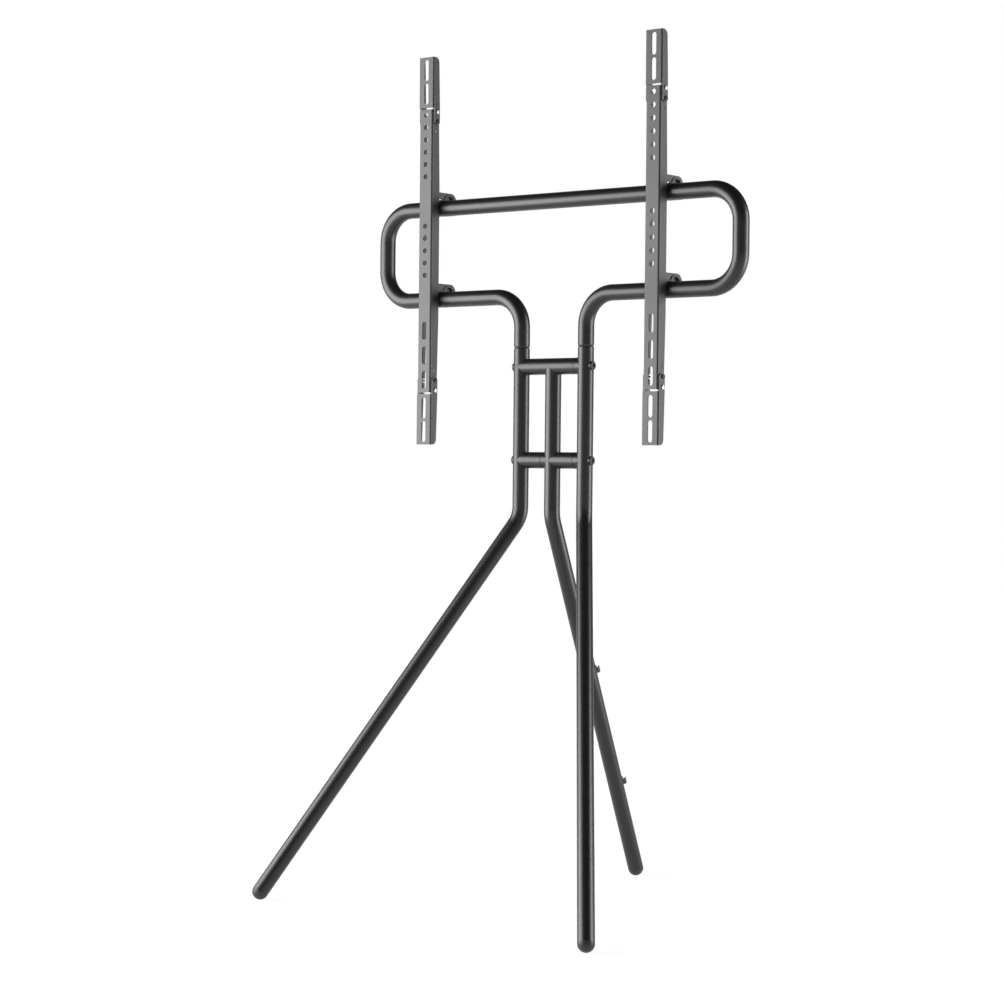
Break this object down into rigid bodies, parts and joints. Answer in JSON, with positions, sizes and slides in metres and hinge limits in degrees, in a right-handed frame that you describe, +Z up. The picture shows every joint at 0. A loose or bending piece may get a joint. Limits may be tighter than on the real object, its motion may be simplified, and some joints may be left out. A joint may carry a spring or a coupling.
{
  "type": "easel television stand",
  "caption": "Easel television stand: a looped tubular head on three bent tubular legs, with slotted upright rails that hook over the head and slide sideways.",
  "frame": {"origin": "on the floor, under the middle of the whole stand", "axes": "+X along the head's bars, to the right of someone facing the screen side; -Y towards the viewer of the screen; +Z up"},
  "size_m": [0.7174, 0.5949, 1.3395],
  "materials": {
    "frame_coat": "satin black powder coat with a fine grain",
    "rail_coat": "satin black powder coat with a fine sandy grain",
    "inner_steel": "plain turned steel",
    "black_bolt": "black oxide",
    "bright_zinc": "bright zinc plate",
    "black_plastic": "moulded black plastic with a fine texture"
  },
  "bodies": {
    "frame": {"head_loop_tube": "frame_coat", "head_spigots": "inner_steel", "left_front_leg": "frame_coat", "right_front_leg": "frame_coat", "rear_leg": "frame_coat", "upper_crossbar": "frame_coat", "lower_crossbar_left": "frame_coat", "lower_crossbar_right": "frame_coat", "saddle_collars": "frame_coat", "crossbar_plugs": "inner_steel", "rear_leg_cross_bush": "inner_steel", "upper_crossbar_bolts": "black_bolt", "lower_crossbar_bolts": "black_bolt", "bolt_saddle_washers": "black_bolt", "left_foot_cap": "black_plastic", "right_foot_cap": "black_plastic", "rear_foot_cap": "black_plastic", "upper_cable_clip": "black_plastic", "lower_cable_clip": "black_plastic", "cable_clip_screws": "black_bolt"},
    "left_rail": {"left_main_rail": "rail_coat", "left_top_extension": "rail_coat", "left_bottom_extension": "rail_coat", "left_end_screws_zinc": "bright_zinc", "left_end_screws_black": "black_bolt", "left_extension_nuts": "inner_steel", "left_upper_hook_liner": "black_plastic", "left_lower_hook_liner": "black_plastic", "left_hook_rivets": "bright_zinc", "left_clamp_plates": "rail_coat", "left_clamp_nuts": "inner_steel"},
    "left_upper_clamp_screw_turning": {"left_upper_clamp_screw": "black_plastic"},
    "left_upper_clamp_pad_moving": {"left_upper_clamp_pad": "black_plastic"},
    "left_lower_clamp_screw_turning": {"left_lower_clamp_screw": "black_plastic"},
    "left_lower_clamp_pad_moving": {"left_lower_clamp_pad": "black_plastic"},
    "right_rail": {"right_main_rail": "rail_coat", "right_top_extension": "rail_coat", "right_bottom_extension": "rail_coat", "right_end_screws_zinc": "bright_zinc", "right_end_screws_black": "black_bolt", "right_extension_nuts": "inner_steel", "right_upper_hook_liner": "black_plastic", "right_lower_hook_liner": "black_plastic", "right_hook_rivets": "bright_zinc", "right_clamp_plates": "rail_coat", "right_clamp_nuts": "inner_steel"},
    "right_upper_clamp_screw_turning": {"right_upper_clamp_screw": "black_plastic"},
    "right_upper_clamp_pad_moving": {"right_upper_clamp_pad": "black_plastic"},
    "right_lower_clamp_screw_turning": {"right_lower_clamp_screw": "black_plastic"},
    "right_lower_clamp_pad_moving": {"right_lower_clamp_pad": "black_plastic"}
  },
  "joints": [
    {"name": "left_rail_slide", "type": "slide", "parent": "frame", "child": "left_rail", "axis": [1, 0, 0], "range_m": [-0.039, 0.112]},
    {"name": "left_upper_clamp_travel", "type": "slide", "parent": "left_rail", "child": "left_upper_clamp_pad_moving", "axis": [0, 1, 0], "range_m": [0, 0.003]},
    {"name": "left_upper_clamp_turn", "type": "hinge", "parent": "left_upper_clamp_pad_moving", "child": "left_upper_clamp_screw_turning", "pos_m": [-0.241, 0.07625, 1.096], "axis": [0, 1, 0], "range_deg": [0, 1080]},
    {"name": "left_lower_clamp_travel", "type": "slide", "parent": "left_rail", "child": "left_lower_clamp_pad_moving", "axis": [0, 1, 0], "range_m": [0, 0.003]},
    {"name": "left_lower_clamp_turn", "type": "hinge", "parent": "left_lower_clamp_pad_moving", "child": "left_lower_clamp_screw_turning", "pos_m": [-0.241, 0.07625, 0.9475], "axis": [0, 1, 0], "range_deg": [0, 1080]},
    {"name": "right_rail_slide", "type": "slide", "parent": "frame", "child": "right_rail", "axis": [1, 0, 0], "range_m": [-0.077, 0.074]},
    {"name": "right_upper_clamp_travel", "type": "slide", "parent": "right_rail", "child": "right_upper_clamp_pad_moving", "axis": [0, 1, 0], "range_m": [0, 0.003]},
    {"name": "right_upper_clamp_turn", "type": "hinge", "parent": "right_upper_clamp_pad_moving", "child": "right_upper_clamp_screw_turning", "pos_m": [0.206, 0.07625, 1.096], "axis": [0, 1, 0], "range_deg": [0, 1080]},
    {"name": "right_lower_clamp_travel", "type": "slide", "parent": "right_rail", "child": "right_lower_clamp_pad_moving", "axis": [0, 1, 0], "range_m": [0, 0.003]},
    {"name": "right_lower_clamp_turn", "type": "hinge", "parent": "right_lower_clamp_pad_moving", "child": "right_lower_clamp_screw_turning", "pos_m": [0.206, 0.07625, 0.9475], "axis": [0, 1, 0], "range_deg": [0, 1080]}
  ],
  "couplings": [
    {"joint": "left_upper_clamp_turn", "follows": "left_upper_clamp_travel", "rad_per_m": 6283.2},
    {"joint": "left_lower_clamp_turn", "follows": "left_lower_clamp_travel", "rad_per_m": 6283.2},
    {"joint": "right_upper_clamp_turn", "follows": "right_upper_clamp_travel", "rad_per_m": 6283.2},
    {"joint": "right_lower_clamp_turn", "follows": "right_lower_clamp_travel", "rad_per_m": 6283.2}
  ]
}
